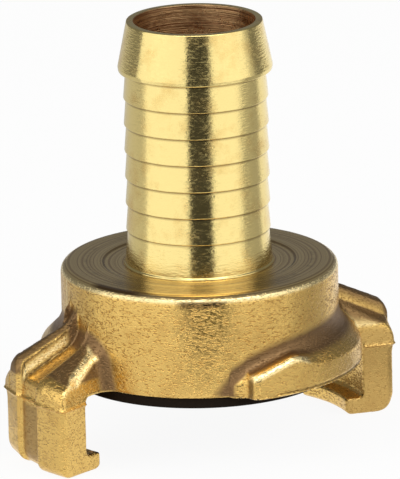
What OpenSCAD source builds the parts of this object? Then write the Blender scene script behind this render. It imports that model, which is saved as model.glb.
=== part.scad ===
// Twist-lock hose connector: a barbed hose tail held in a two-claw head with a rubber face seal.
// The part stands on its two hooks. Z runs up along the water way, and the claws lie along X.

/* [Hose tail] */
// Length of the hose tail above the head's top
tail_h = 35.2; // [28:0.1:46]
// Bore of the water way, diameter
tail_bore_d = 17.3; // [15:0.1:17.8]
// Plain neck above the head, diameter
neck_d = 20.4; // [19.6:0.1:21]
// Height of the plain neck, from the head's top to the lowest barb
neck_h = 4.8; // [2:0.1:12]
// Crest of the small barbs, diameter
barb_d = 20.6; // [20.2:0.1:21.4]
// Depth of the step under each small barb, on the radius
barb_step = 0.25; // [0.1:0.05:0.5]
// Number of small barbs
barb_count = 6; // [2:1:8]
// Crest of the lead barb at the tail's end, diameter
lead_barb_d = 22; // [21.6:0.1:23]
// Height of the lead barb, with its taper
lead_barb_h = 7.3; // [5:0.1:10]
// Height of the lead barb's undercut, below its crest
lead_undercut_h = 0.7; // [0.3:0.1:1.5]
// Outer diameter of the thin rim at the tail's end
tip_rim_d = 19.3; // [18.6:0.1:20]

/* [Tail seat] */
// Bead rolled out over the head's top, diameter
bead_d = 22; // [21.6:0.1:24]
// Height of the bead
bead_h = 0.8; // [0.4:0.1:1.5]
// Spigot in the head's hole, diameter
spigot_d = 21; // [20.8:0.1:21.4]
// Radial gap between the foot flange and the chamber's wall
foot_gap = 2; // [0.5:0.1:3.5]
// Thickness of the foot flange
foot_h = 2.4; // [1.5:0.1:4]
// Radial gap between the spigot and the head's hole
spigot_gap = 0.02; // [0.01:0.01:0.05]

/* [Head] */
// Outer diameter of the head
head_d = 39.6; // [38.8:0.2:42]
// Height of the head
head_h = 14.85; // [12:0.05:18]
// Rounding of the head's top edge
head_round = 1.3; // [0.5:0.1:2.5]
// Wall at the head's top that carries the tail
top_wall = 3.9; // [2.5:0.1:5]
// Ring turned into the head's top face, diameter
spot_d = 27.4; // [24.4:0.2:32]
// Depth of that turned ring
spot_depth = 0.2; // [0.1:0.05:0.4]
// Inner chamber behind the seal, diameter
chamber_d = 31; // [30.4:0.2:33]

/* [Seal] */
// Mouth in the head's rim that holds the seal, diameter
seal_mouth_d = 32.8; // [31.8:0.2:33.4]
// Height of the mouth
seal_mouth_h = 1.7; // [1:0.1:2.5]
// Groove behind the mouth, diameter
seal_groove_d = 34.2; // [33.6:0.1:35]
// Height of the groove
seal_groove_h = 3; // [2:0.1:4]
// Free gap between the rubber and the groove
seal_gap = 0.1; // [0.05:0.05:0.3]
// Outer diameter of the seal's face
seal_face_d = 38; // [36:0.2:38.4]
// How far the seal's face stands below the rim
seal_proud = 1.5; // [0.8:0.1:1.9]
// Water way through the seal, diameter
seal_bore_d = 24; // [20:0.5:27]
// Chamfer on the seal's edges
seal_chamfer = 0.5; // [0.2:0.1:0.7]

/* [Claws] */
// Distance from the hooks' base up to the head's rim
claw_drop = 11; // [9:0.05:13]
// Half of the angle that a claw spans
claw_half = 15.5; // [13:0.5:20]
// Radius of the claws' outer wall
claw_out_r = 29.2; // [28:0.1:31]
// Thickness of the leg's wall
leg_wall = 4.6; // [3.8:0.1:5]
// How far the hooks reach in from the leg's inner wall
hook_reach = 2.8; // [2:0.1:3.4]
// Thickness of the hooks
hook_h = 2.45; // [1.9:0.05:3.2]
// Rounding of the hooks' outer lower edge
hook_round = 2.6; // [1.5:0.1:3.6]
// Chamfer under the hooks' tips
tip_chamfer = 0.6; // [0.2:0.1:1]
// Rounding on top of the hooks' tips
tip_round = 0.4; // [0.2:0.1:0.5]
// Fillets inside the claws' slots
slot_fillet = 0.8; // [0.3:0.1:1.2]
// Depth of the parting lip below the head's rim
flash_drop = 1; // [0.8:0.05:1.4]
// How far the parting lip stands out
flash_out = 0.35; // [0.1:0.05:0.5]

/* [Claw ribs] */
// Height of the low tops above the rim, at the head's wall
rib_rise = 6.8; // [6:0.1:7.5]
// Height of the tall rib above the low tops
crest_rise = 2.6; // [1.6:0.1:3]
// Back of the tall rib, angle from the claw's middle
crest_back = -11; // [-12:0.5:-8.5]
// Drop of the ribs' tops for each millimetre outwards
rib_slope = 0.48; // [0.3:0.02:0.5]
// Rounding of the ribs' outer top edge
rib_round = 1.6; // [0.8:0.1:2]
// Lean of the front end face above the parting lip, degrees
rib_draft = 20; // [5:1:24]
// Lean of the back end face, degrees
back_draft = 8; // [3:1:12]
// Depth of the channel below the low tops
channel_depth = 0.6; // [0.3:0.1:1.2]
// Depth of the channel's groove down the outer wall
groove_depth = 0.6; // [0.2:0.05:0.9]
// Side of the channel towards the lug, angle from the claw's middle
channel_from = -4.5; // [-6:0.5:-2]
// Other side of the channel, angle from the claw's middle
channel_to = 4; // [2:0.5:6]
// Fillet where ribs and lugs meet the head's wall
root_fillet = 1.4; // [0.6:0.1:1.8]

/* [Lugs] */
// Outer radius of the ramp lugs
lug_r = 23; // [22.4:0.1:23.6]
// Angle from the claw's middle back to the lug's nose
lug_span = 109; // [80:1:116]
// Height of the lug's top above the rim, at the head's wall
lug_rise = 6.8; // [6:0.1:8]
// Height of the lug's side wall
lug_wall = 3.4; // [2.5:0.1:3.8]
// Height of the ramp's edge at the nose
ramp_start = 2.1; // [1:0.1:3]
// Height of the ramp's edge at its crest
ramp_crest = 4.8; // [4:0.1:5.6]
// Angle that the ramp takes from nose to crest
ramp_span = 24; // [15:1:35]
// Rise of the ramp inwards to the head's wall, degrees
ramp_lean = 14; // [5:1:30]
// Fall of the lug behind the crest, degrees
crest_fall = 26; // [20:1:45]
// How far the nose's side wall is set in from the lug's
nose_in = 0.2; // [0.1:0.05:0.6]

/* [Hidden] */
$fn = 96;

CLAW_COUNT = 2;
// Angle of the turned bodies' start line, in the bare wall between a claw and a nose
SEAM = 45;
ARC_STEPS = 5;
EPS = 0.01;
// How far a fillet runs into the wall that it meets
BITE = 0.15;
// Angle by which a lug runs into its claw
LUG_BITE = 1;
// Angle of the blunt nose to the head's radius
NOSE_ANGLE = 45;
// How far the bodies reach below the rim before the slots' cut makes it flat
CUP_DIP = 2;
LUG_DIP = 3;
// How far a leaning cut starts below the edge that it makes
CUT_DIP = 4;
// Angle by which the cuts above the low tops pass the claw's sides
SIDE_OVER = 3;
// Where the rounding of the low tops' outer edge ends, and how far that cut runs on outwards
EDGE_ANGLE = 25;
EDGE_OUT = 3;
// Parting line along the lugs: set-in of the walls, and its height
LINE_IN = 0.3;
LINE_H = 0.4;
// Angles between which the lead barb's crest is rounded
CREST_FROM = -40;
CREST_TO = 10;

rim_z = claw_drop;
head_top_z = rim_z + head_h;
head_r = head_d / 2;
foot_r = chamber_d / 2 - foot_gap;
leg_in_r = claw_out_r - leg_wall;
hook_tip_r = leg_in_r - hook_reach;
// How far cutting bodies reach past what they cut
reach = 2 * claw_out_r;
// The tail's bead sits on the face inside the turned ring
seat_z = head_top_z - spot_depth;
shoulder_z = head_top_z - top_wall;
groove_z = rim_z + seal_mouth_h;
chamber_z = groove_z + seal_groove_h;
seal_face_z = rim_z - seal_proud;
barbs_z = head_top_z + neck_h;
tail_top_z = head_top_z + tail_h;
lead_z = tail_top_z - lead_barb_h;
// Height of one small barb
barb_pitch = (lead_z - barbs_z) / barb_count;
foot_z = shoulder_z - foot_h;
flash_z = rim_z - flash_drop;
// Radius inside the head's wall at which claws and lugs end
root_r = (head_r + seal_groove_d / 2) / 2;

// Points along an arc from one angle to another
function arc(x, y, r, from, to, steps = ARC_STEPS) =
    [for (i = [0:steps]) let (a = from + (to - from) * i / steps) [x + r * cos(a), y + r * sin(a)]];

// Height of a claw's top at a radius, raised over the low tops
function rib_top(r, rise) = rim_z + rib_rise + rise - rib_slope * (r - head_r);

// Fillet from a sloping top into the head's wall, given the top's height just outside it
function cove(z) = concat(
    arc(head_r + root_fillet - BITE, z + root_fillet, root_fillet, 270, 180),
    [[root_r, z + root_fillet]]
);

// A part of a turned ring between two angles
module sector(from, to) {
    rotate([0, 0, from]) rotate_extrude(angle = to - from) children();
}

// Barbs as an outline, from the lowest barb up
function barb_outline() = [
    for (i = [0:barb_count - 1])
        for (p = [[barb_d / 2, barbs_z + i * barb_pitch], [barb_d / 2 - barb_step, barbs_z + (i + 1) * barb_pitch]]) p
];

// The barbed tube, turned in one piece with its foot and bead
module hose_tail() {
    bead_round = bead_h / 2;
    crest_round = lead_undercut_h / 2;
    crest_z = lead_z + lead_undercut_h;
    color("gold") rotate_extrude() polygon(concat(
        [
            [tail_bore_d / 2, foot_z],
            [foot_r, foot_z],
            [foot_r, shoulder_z],
            [spigot_d / 2, shoulder_z],
            [spigot_d / 2, seat_z]
        ],
        arc(bead_d / 2 - bead_round, seat_z + bead_round, bead_round, -90, 90),
        [
            [neck_d / 2, seat_z + bead_h + bead_round],
            [neck_d / 2, barbs_z]
        ],
        barb_outline(),
        arc(lead_barb_d / 2 - crest_round, crest_z, crest_round, CREST_FROM, CREST_TO, 3),
        [
            [tip_rim_d / 2, tail_top_z],
            [tail_bore_d / 2, tail_top_z]
        ]
    ));
}

// Outer side of a claw from its base up to the head's wall, with its top raised over the low tops
// and its wall thinned
function claw_skin(rise, thin) =
    let (
        out_r = claw_out_r - thin,
        top_r = out_r - rib_round - flash_out,
        lean = atan(rib_slope)
    )
    concat(
        arc(out_r - hook_round, hook_round, hook_round, 270, 360),
        [
            [out_r, flash_z - flash_out],
            [out_r + flash_out, flash_z],
            [out_r + flash_out, flash_z + flash_out],
            [out_r, flash_z + 2 * flash_out]
        ],
        arc(top_r, rib_top(top_r, rise) - rib_round / cos(lean), rib_round, 0, 90 - lean, 3),
        cove(rib_top(head_r + root_fillet, rise))
    );

// Section of a claw through its tall rib, before its slot is cut
module claw_outline() {
    polygon(concat([[root_r, 0]], claw_skin(crest_rise, 0)));
}

// What is cut from above the low tops: it rounds their outer edge and leaves the wall steeply
module low_outline() {
    top_r = claw_out_r - rib_round - flash_out;
    lean = atan(rib_slope);
    center_z = rib_top(top_r, 0) - rib_round / cos(lean);
    edge_r = top_r + rib_round * cos(EDGE_ANGLE);
    edge_z = center_z + rib_round * sin(EDGE_ANGLE);
    polygon(concat(
        [[edge_r + EDGE_OUT, edge_z - EDGE_OUT / tan(EDGE_ANGLE)]],
        arc(top_r, center_z, rib_round, EDGE_ANGLE, 90 - lean, 3),
        cove(rib_top(head_r + root_fillet, 0)),
        [
            [root_r, reach],
            [edge_r + EDGE_OUT, reach]
        ]
    ));
}

// What is cut from under the rim, all round: the space between the claws, and the slots over
// their hooks
module slot_cut() {
    rotate([0, 0, SEAM]) rotate_extrude() polygon(concat(
        [
            [0, -CUP_DIP],
            [hook_tip_r + tip_chamfer + CUP_DIP, -CUP_DIP],
            [hook_tip_r, tip_chamfer]
        ],
        arc(hook_tip_r + tip_round, hook_h - tip_round, tip_round, 180, 90, 3),
        arc(leg_in_r - slot_fillet, hook_h + slot_fillet, slot_fillet, -90, 0, 3),
        arc(leg_in_r - slot_fillet, rim_z - slot_fillet, slot_fillet, 0, 90, 3),
        [[0, rim_z]]
    ));
}

// What the channel takes from a claw: all that lies outside a lower skin
module channel_outline() {
    polygon(concat(
        [[claw_out_r - groove_depth - hook_round, -reach]],
        claw_skin(-channel_depth, groove_depth),
        [
            [root_r, reach],
            [reach, reach],
            [reach, -reach]
        ]
    ));
}

// What the lean of an end face takes from a claw, above the parting lip
module draft_cut(draft) {
    translate([0, 0, flash_z + 2 * flash_out]) rotate([draft, 0, 0]) translate([-reach / 2, 0, -CUT_DIP])
        cube([1.5 * reach, reach / 2, reach / 2]);
}

// A hook with its leg, its tall rib, the channel and the low tops beside them, in the middle of +X
module claw() {
    difference() {
        sector(-claw_half, claw_half) claw_outline();
        sector((channel_from + channel_to) / 2, claw_half + SIDE_OVER) low_outline();
        sector(-claw_half - SIDE_OVER, crest_back) low_outline();
        sector(channel_from, channel_to) channel_outline();
        rotate([0, 0, claw_half]) draft_cut(rib_draft);
        mirror([0, 1, 0]) rotate([0, 0, claw_half]) draft_cut(back_draft);
    }
}

// Lower part of a lug's section, before its base is cut flat: its parting line and its side wall
function lug_side(r, wall_z) = [
    [root_r, rim_z - LUG_DIP],
    [r - LINE_IN - LUG_DIP, rim_z - LUG_DIP],
    [r - LINE_IN / 3, rim_z + LINE_H / 2],
    [r - LINE_IN, rim_z + LINE_H],
    [r, wall_z]
];

// Section of a lug, which rises inwards from its side wall over a rounded shoulder
module lug_outline() {
    wall_z = rim_z + lug_wall;
    polygon(concat(
        lug_side(lug_r, wall_z),
        [
            [lug_r - LINE_IN, wall_z + LINE_H],
            [lug_r - 3 * LINE_IN, wall_z + 3 * LINE_H]
        ],
        cove(rim_z + lug_rise - root_fillet)
    ));
}

// Section of a lug's front part, which is full to its outer wall so that the ramp cuts it
module nose_outline() {
    polygon(concat(lug_side(lug_r - nose_in, rim_z + ramp_crest), cove(rim_z + lug_rise)));
}

// What a sloping face takes from the lug: the face passes the lug's edge at an angle and a height,
// rises along the edge at a slope, and rises inwards at the ramp's lean
module slope_cut(angle, height, slope) {
    rotate([0, 0, angle]) translate([lug_r, 0, rim_z + height]) rotate([slope, 0, 0]) rotate([0, ramp_lean, 0])
        translate([-reach / 2, -reach / 2, 0]) cube([reach, reach, reach / 2]);
}

// Ramp lug: it rises from its nose to a crest, and runs on into the claw's side
module lug() {
    crest_angle = ramp_span - lug_span;
    crest_in = lug_r * (1 - cos(ramp_span)) * tan(ramp_lean);
    ramp_slope = atan((ramp_crest - ramp_start - crest_in) / (lug_r * sin(ramp_span)));
    back_span = (ramp_crest - lug_wall) / tan(crest_fall) / lug_r * 180 / PI + 3;
    sector(crest_angle, LUG_BITE - claw_half) lug_outline();
    difference() {
        sector(-lug_span, crest_angle + back_span) nose_outline();
        slope_cut(-lug_span, ramp_start, ramp_slope);
        slope_cut(crest_angle, ramp_crest, -crest_fall);
        // The nose is blunt: its corner is cut back to the head's wall
        rotate([0, 0, -lug_span]) translate([head_r - BITE, 0, 0]) rotate([0, 0, NOSE_ANGLE])
            translate([-head_r / 4, -head_r, 0]) cube([head_r, head_r, head_top_z]);
    }
}

// The forged head: cup, two claws and two ramp lugs in one piece
module claw_head() {
    color("goldenrod") difference() {
        union() {
            rotate([0, 0, SEAM]) rotate_extrude() polygon(concat(
                [
                    [0, rim_z - CUP_DIP],
                    [head_r, rim_z - CUP_DIP]
                ],
                arc(head_r - head_round, head_top_z - head_round, head_round, 0, 90),
                [
                    [spot_d / 2, head_top_z],
                    [spot_d / 2 - spot_depth, seat_z],
                    [0, seat_z]
                ]
            ));
            for (i = [0:CLAW_COUNT - 1])
                rotate([0, 0, i * 360 / CLAW_COUNT]) {
                    claw();
                    lug();
                }
        }
        slot_cut();
        rotate([0, 0, SEAM]) {
            cylinder(h = head_top_z + CUP_DIP, d = spigot_d + 2 * spigot_gap);
            cylinder(h = shoulder_z, d = chamber_d);
            cylinder(h = groove_z + EPS, d = seal_mouth_d);
            translate([0, 0, groove_z]) cylinder(h = seal_groove_h, d = seal_groove_d);
        }
    }
}

// The rubber seal, snapped into the groove with its face below the rim
module seal() {
    bulb_r = seal_groove_d / 2 - seal_gap;
    waist_r = seal_mouth_d / 2 - seal_gap;
    face_r = seal_face_d / 2;
    bore_r = seal_bore_d / 2;
    color("dimgray") rotate_extrude() polygon([
        [bore_r, seal_face_z + seal_chamfer],
        [bore_r + seal_chamfer, seal_face_z],
        [face_r - seal_chamfer, seal_face_z],
        [face_r, seal_face_z + seal_chamfer],
        [face_r, rim_z],
        [waist_r, rim_z],
        [waist_r, groove_z + seal_gap],
        [bulb_r, groove_z + seal_gap],
        [bulb_r, chamber_z - seal_gap - seal_chamfer],
        [bulb_r - seal_chamfer, chamber_z - seal_gap],
        [bore_r + seal_chamfer, chamber_z - seal_gap],
        [bore_r, chamber_z - seal_gap - seal_chamfer]
    ]);
}

hose_tail();
claw_head();
seal();
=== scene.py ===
import math

import bpy
import numpy as np
from mathutils import Matrix, Vector


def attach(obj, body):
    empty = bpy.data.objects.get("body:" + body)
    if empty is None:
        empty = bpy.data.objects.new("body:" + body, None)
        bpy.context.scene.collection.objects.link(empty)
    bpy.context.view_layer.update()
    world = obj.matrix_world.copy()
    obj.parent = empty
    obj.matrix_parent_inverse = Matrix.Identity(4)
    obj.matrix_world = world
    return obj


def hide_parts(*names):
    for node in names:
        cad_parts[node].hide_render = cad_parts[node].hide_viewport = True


bl_info = {
    "name": "Twist-lock hose connector",
    "version": (1, 0, 0),
    "blender": (4, 5, 0),
    "location": "3D View > Sidebar > Connector",
    "description": "Dresses the packed hose connector: turned tail, forged claw head, rubber seal and stage",
    "category": "Object",
}

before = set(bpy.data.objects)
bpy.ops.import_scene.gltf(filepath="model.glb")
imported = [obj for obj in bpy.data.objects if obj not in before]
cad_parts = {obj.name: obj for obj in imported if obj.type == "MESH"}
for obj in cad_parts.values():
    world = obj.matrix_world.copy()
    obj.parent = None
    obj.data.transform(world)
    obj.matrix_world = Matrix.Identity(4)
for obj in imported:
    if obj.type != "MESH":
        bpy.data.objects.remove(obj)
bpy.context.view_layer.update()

# All shapes are worked out in millimetres and put into the meshes in metres
MM = 0.001

# Heights that the pieces share, above the hooks' base
RIM_Z = 11.0
HEAD_TOP_Z = 25.85
SEAT_Z = 25.65
SHOULDER_Z = 21.95
GROOVE_Z = 12.7
CHAMBER_Z = 15.7
TAIL_TOP_Z = 61.05
BARBS_Z = 30.65
LEAD_Z = 53.75
HEAD_R = 19.8

# The photo's camera stands at this turn of the part's frame in degrees, seen from above
CAMERA_TURN = -122.5


def arc(cx, cy, r, start, end, steps):
    """Points of a circular arc: centre plus radius times the cosine and sine of evenly spaced angles."""
    a = np.radians(np.linspace(start, end, steps + 1))
    return np.column_stack((cx + r * np.cos(a), cy + r * np.sin(a)))


def smooth(x, low, high):
    """A smooth step from 0 at low to 1 at high: three times the square less twice the cube of the share."""
    t = np.clip((x - low) / (high - low), 0.0, 1.0)
    return t * t * (3.0 - 2.0 * t)


def window(x, a, b, c, d):
    """1 from b to c, with a smooth step up from a and one down to d."""
    return smooth(x, a, b) * smooth(-x, -d, -c)


def bell(x, middle, width):
    """A bell curve: e to the power of minus the square of the distance from the middle in widths."""
    return np.exp(-((x - middle) / width) ** 2)


def put_mesh(name, verts, faces, sharp_degrees):
    """A mesh object at the origin from whole arrays of vertices in millimetres and faces of one size."""
    mesh = bpy.data.meshes.new(name)
    count, size = faces.shape
    mesh.vertices.add(len(verts))
    mesh.vertices.foreach_set("co", (verts * MM).astype(np.float32).ravel())
    mesh.loops.add(count * size)
    mesh.loops.foreach_set("vertex_index", faces.astype(np.int32).ravel())
    mesh.polygons.add(count)
    mesh.polygons.foreach_set("loop_start", np.arange(0, count * size, size, dtype=np.int32))
    mesh.update(calc_edges=True)
    mesh.validate()
    mesh.shade_smooth()
    mesh.set_sharp_from_angle(angle=math.radians(sharp_degrees))
    piece = bpy.data.objects.new(name, mesh)
    bpy.context.scene.collection.objects.link(piece)
    return piece


def lathe(outline, segments):
    """Turns a closed outline of (radius, height) points round Z: point i of ring j is the radius times the
    cosine and sine of j shares of a full turn, at the outline's height. The outline runs anticlockwise."""
    a = np.linspace(0.0, 2.0 * np.pi, segments, endpoint=False)
    r, z = outline[:, 0], outline[:, 1]
    x = r[None, :] * np.cos(a)[:, None]
    y = r[None, :] * np.sin(a)[:, None]
    verts = np.stack((x, y, np.broadcast_to(z, x.shape)), axis=-1).reshape(-1, 3)
    n = len(outline)
    j, i = np.meshgrid(np.arange(segments), np.arange(n), indexing="ij")
    jn, im = (j + 1) % segments, (i + 1) % n
    faces = np.stack((j * n + i, jn * n + i, jn * n + im, j * n + im), axis=-1).reshape(-1, 4)
    return verts, faces


def with_supports(points, gap, longest):
    """Adds a point close to both ends of each long side of a closed outline, so that its shading stays flat,
    and splits what is still longer than the longest side wanted."""
    out = []
    following = np.roll(points, -1, axis=0)
    for p, q in zip(points, following):
        side = np.linalg.norm(q - p)
        out.append(p)
        if side > 3.0 * gap:
            inner = np.linspace(gap / side, 1.0 - gap / side, max(2, int(side / longest) + 1))
            out.extend(p + (q - p) * t for t in inner)
    return np.array(out)


def rounded(points, radii, steps=4):
    """Rounds the corners of a closed outline: each corner becomes the arc that touches both of its sides, by
    a quadratic curve between the two touching points."""
    out = []
    n = len(points)
    for k in range(n):
        p, before, after = points[k], points[k - 1], points[(k + 1) % n]
        r = radii[k]
        if r <= 0.0:
            out.append(p)
            continue
        a, b = before - p, after - p
        la, lb = np.linalg.norm(a), np.linalg.norm(b)
        a, b = a / la, b / lb
        half = 0.5 * math.acos(float(np.clip(a @ b, -1.0, 1.0)))
        reach = min(r / math.tan(half), 0.45 * la, 0.45 * lb)
        t = np.linspace(0.0, 1.0, steps + 1)[:, None]
        out.extend((1 - t) ** 2 * (p + a * reach) + 2 * t * (1 - t) * p + t ** 2 * (p + b * reach))
    return np.array(out)


# Shader helpers

def shade(color, red=1.0, green=1.0, blue=1.0):
    """A colour with its three parts scaled, ready for a node's socket."""
    return (color[0] * red, color[1] * green, color[2] * blue, 1.0)


class Paint:
    """The nodes of a material or of the world, and short makers of the kinds that are used here."""

    def __init__(self, owner, output="ShaderNodeOutputMaterial"):
        owner.use_nodes = True
        self.owner = owner
        self.tree = owner.node_tree
        self.tree.nodes.clear()
        self.output = self.tree.nodes.new(output)

    def node(self, kind, inputs=None, **settings):
        """A node with its settings, each input linked to a socket or set to a value."""
        made = self.tree.nodes.new(kind)
        for key, value in settings.items():
            setattr(made, key, value)
        for key, value in (inputs or {}).items():
            if isinstance(value, bpy.types.NodeSocket):
                self.tree.links.new(value, made.inputs[key])
            else:
                made.inputs[key].default_value = value
        return made

    def place(self):
        """Object coordinates, in metres."""
        return self.node("ShaderNodeTexCoord").outputs["Object"]

    def radius(self, place):
        """Distance from Z."""
        flat = self.node("ShaderNodeVectorMath", {0: place, 1: (1.0, 1.0, 0.0)}, operation="MULTIPLY")
        return self.node("ShaderNodeVectorMath", {0: flat.outputs[0]}, operation="LENGTH").outputs["Value"]

    def mark(self, name):
        """A mark that the piece's vertices carry."""
        return self.node("ShaderNodeAttribute", attribute_name=name).outputs["Fac"]

    def math(self, operation, *values):
        return self.node("ShaderNodeMath", dict(enumerate(values)), operation=operation).outputs[0]

    def product(self, first, *others):
        for other in others:
            first = self.math("MULTIPLY", first, other)
        return first

    def most(self, first, *others):
        for other in others:
            first = self.math("MAXIMUM", first, other)
        return first

    def plus(self, value, times, more):
        """A value times a factor, plus more."""
        return self.math("MULTIPLY_ADD", value, times, more)

    def span(self, value, low, high, start=0.0, end=1.0):
        """Start where the value is low, end where it is high, and evenly between them."""
        limits = {"Value": value, "From Min": low, "From Max": high, "To Min": start, "To Max": end}
        return self.node("ShaderNodeMapRange", limits).outputs[0]

    def window(self, value, a, b, c, d):
        """1 from b to c, falling to 0 at a and at d."""
        return self.product(self.span(value, a, b), self.span(value, c, d, 1.0, 0.0))

    def noise(self, place, scale, detail, **more):
        """Noise from 0 to 1; a scale for each axis stretches it."""
        if isinstance(scale, tuple):
            place = self.node("ShaderNodeMapping", {"Vector": place, "Scale": scale}).outputs[0]
            scale = 1.0
        inputs = {"Vector": place, "Scale": scale, "Detail": detail, **more}
        return self.node("ShaderNodeTexNoise", inputs).outputs[0]

    def blend(self, one, other, share):
        """Colour that goes from one to the other with the share."""
        inputs = {"A": one, "B": other, "Factor": share}
        return self.node("ShaderNodeMix", inputs, data_type="RGBA").outputs["Result"]

    def skin(self, color, roughness, height, strength, depth, values):
        """The finished material: a principled shader under a bump, whose depth is in metres."""
        inputs = {"Height": height, "Strength": strength, "Distance": depth}
        bump = self.node("ShaderNodeBump", inputs).outputs[0]
        inputs = {"Base Color": color, "Roughness": roughness, "Normal": bump, **values}
        return self.show(self.node("ShaderNodeBsdfPrincipled", inputs))

    def show(self, node):
        """Links a node's first output to the surface."""
        self.tree.links.new(node.outputs[0], self.output.inputs["Surface"])
        return self.owner


def new_paint(name):
    return Paint(bpy.data.materials.new(name))


def finish_piece(piece, node_name, material):
    """Gives a piece its material and its place on the one body, and hides the node of the part file that it
    stands for.
    """
    piece.data.materials.clear()
    piece.data.materials.append(material)
    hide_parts(node_name)
    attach(piece, "root")


# Hose tail

def tail_outline(s):
    """Closed outline of the barbed tube, from the foot's bore corner up the outside and down the bore. Each
    small barb is a cone that narrows upwards and ends in a rounded step."""
    crest, step = s.barb_d / 2.0, s.barb_step
    neck, bore, spigot = s.neck_d / 2.0, s.bore_d / 2.0, 10.5
    foot_r, foot_z, bead = 13.5, 19.55, s.bead_d / 2.0
    pitch = (LEAD_Z - BARBS_Z) / s.barb_count
    points = [(bore, foot_z), (foot_r, foot_z), (foot_r, SHOULDER_Z), (spigot, SHOULDER_Z), (spigot, SEAT_Z)]
    radii = [0.1, 0.2, 0.2, 0.0, 0.0]
    points += [(bead, SEAT_Z), (bead - 0.06, SEAT_Z + 0.14), (neck + 0.27, SEAT_Z + 0.3)]
    radii += [0.05, 0.1, 0.1]
    points.append((neck - 0.2, BARBS_Z - 0.02))
    radii.append(0.05)
    for k in range(s.barb_count):
        low = BARBS_Z + k * pitch
        points += [(crest, low), (crest - step, low + pitch - 0.03)]
        radii += [0.14, 0.05]
    lead = s.lead_d / 2.0
    points += [(crest - step + 0.1, LEAD_Z), (lead - 0.08, LEAD_Z + 0.12), (lead, LEAD_Z + 0.7)]
    radii += [0.1, 0.2, 0.35]
    points += [(s.tip_d / 2.0, TAIL_TOP_Z), (bore, TAIL_TOP_Z)]
    radii += [0.18, 0.15]
    return with_supports(rounded(np.array(points), radii), 0.06, 0.3)


def corner_shade(s, outline):
    """Painted shade in the barbs' inner corners at each outline point: a bell curve of its distance to the
    nearest.
    """
    pitch = (LEAD_Z - BARBS_Z) / s.barb_count
    heights = BARBS_Z + pitch * np.arange(s.barb_count + 1)
    radius = s.barb_d / 2.0 - s.barb_step
    away = np.hypot(outline[:, :1] - radius, outline[:, 1:] - heights[None, :] + 0.03).min(axis=1)
    return bell(away, 0.0, 0.17)


# Steps round the tube
TAIL_STEPS = 224


class TailSettings(bpy.types.PropertyGroup):
    bore_d: bpy.props.FloatProperty(name="Bore", description="Bore of the water way, mm", default=17.3)
    neck_d: bpy.props.FloatProperty(name="Neck", description="Diameter of the plain neck, mm", default=20.5)
    barb_d: bpy.props.FloatProperty(name="Barbs", description="Crest of the small barbs, mm", default=20.6)
    barb_step: bpy.props.FloatProperty(name="Barb step", description="Step under each barb, mm", default=0.34)
    barb_count: bpy.props.IntProperty(name="Barb count", description="Number of small barbs", default=6)
    lead_d: bpy.props.FloatProperty(name="Lead barb", description="Crest of the lead barb, mm", default=22.0)
    tip_d: bpy.props.FloatProperty(name="Tip", description="Outer diameter of the thin rim, mm", default=19.3)
    bead_d: bpy.props.FloatProperty(name="Bead", description="Diameter of the rolled bead, mm", default=21.5)
    color: bpy.props.FloatVectorProperty(
        name="Turned brass", description="Colour of the bright turned brass", subtype="COLOR",
        default=(0.89, 0.71, 0.285))


# Colours of the tail's painted corner shade and of its bore
CORNER_SHADE = (0.16, 0.09, 0.03, 1.0)
BORE_DARK = (0.30, 0.15, 0.07, 1.0)
BORE_LIGHT = (0.66, 0.42, 0.20, 1.0)


def turned_brass(color):
    """Bright turned brass: fine rings round Z, a few pits and faint stains, dull and brown inside the bore,
    and darkened with painted shade in the barbs' corners."""
    paint = new_paint("turned_brass")
    place = paint.place()
    # Rings: noise on coordinates that are squeezed sideways, so that it hardly changes round the tube
    rings = paint.noise(place, (60.0, 60.0, 7000.0), 3.0, Roughness=0.7)
    pits = paint.node("ShaderNodeTexVoronoi", {"Vector": place, "Scale": 900.0}).outputs["Distance"]
    # Tool chatter: short dents that run round the tube
    chatter = paint.noise(place, (1000.0, 1000.0, 4200.0), 4.0)
    # Inside of the bore, told by the distance from the axis
    inside = paint.span(paint.radius(place), 0.00868, 0.00878, 1.0, 0.0)
    height = paint.product(rings, paint.plus(inside, 3.0, 0.6))
    height = paint.plus(paint.span(pits, 0.10, 0.22), 0.25, height)
    height = paint.plus(chatter, 1.3, height)
    stain = paint.noise(place, 260.0, 6.0, Roughness=0.65)
    skin = paint.blend(shade(color), shade(color, 0.88, 0.80, 0.72), paint.span(stain, 0.50, 0.70))
    # Painted shade in the barbs' inner corners
    skin = paint.blend(skin, CORNER_SHADE, paint.mark("corner"))
    bore = paint.blend(BORE_DARK, BORE_LIGHT, paint.span(rings, 0.40, 0.60))
    skin = paint.blend(skin, bore, inside)
    # Small rough flecks, longer round the tube than they are tall
    flecks = paint.noise(place, (1500.0, 1500.0, 3600.0), 3.0)
    rough = paint.plus(inside, 0.15, paint.span(stain, 0.4, 0.7, 0.10, 0.20))
    rough = paint.plus(paint.span(flecks, 0.50, 0.62), 0.11, rough)
    return paint.skin(skin, rough, height, 0.5, 0.00004, {"Metallic": 1.0})


class CONNECTOR_OT_tail(bpy.types.Operator):
    """Turns the barbed hose tail"""
    bl_idname = "connector.tail"
    bl_label = "Hose tail"

    def execute(self, context):
        s = context.scene.connector_tail
        outline = tail_outline(s)
        verts, faces = lathe(outline, TAIL_STEPS)
        piece = put_mesh("barbed_tail", verts, faces, 35.0)
        # Painted shade for the barbs' inner corners, carried by the vertices
        corner = piece.data.attributes.new("corner", "FLOAT", "POINT")
        corner.data.foreach_set("value", np.tile(corner_shade(s, outline), TAIL_STEPS).astype(np.float32))
        finish_piece(piece, "hose_tail", turned_brass(tuple(s.color)))
        return {"FINISHED"}


# Claw head: distances of its forms, joined with fillets

def round_or(a, b, k):
    """Joins two forms with a fillet: beyond k of both it is the nearer, and within k it is k less the length
    of the two shortfalls."""
    u, v = np.maximum(k - a, 0.0), np.maximum(k - b, 0.0)
    return np.maximum(k, np.minimum(a, b)) - np.hypot(u, v)


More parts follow.
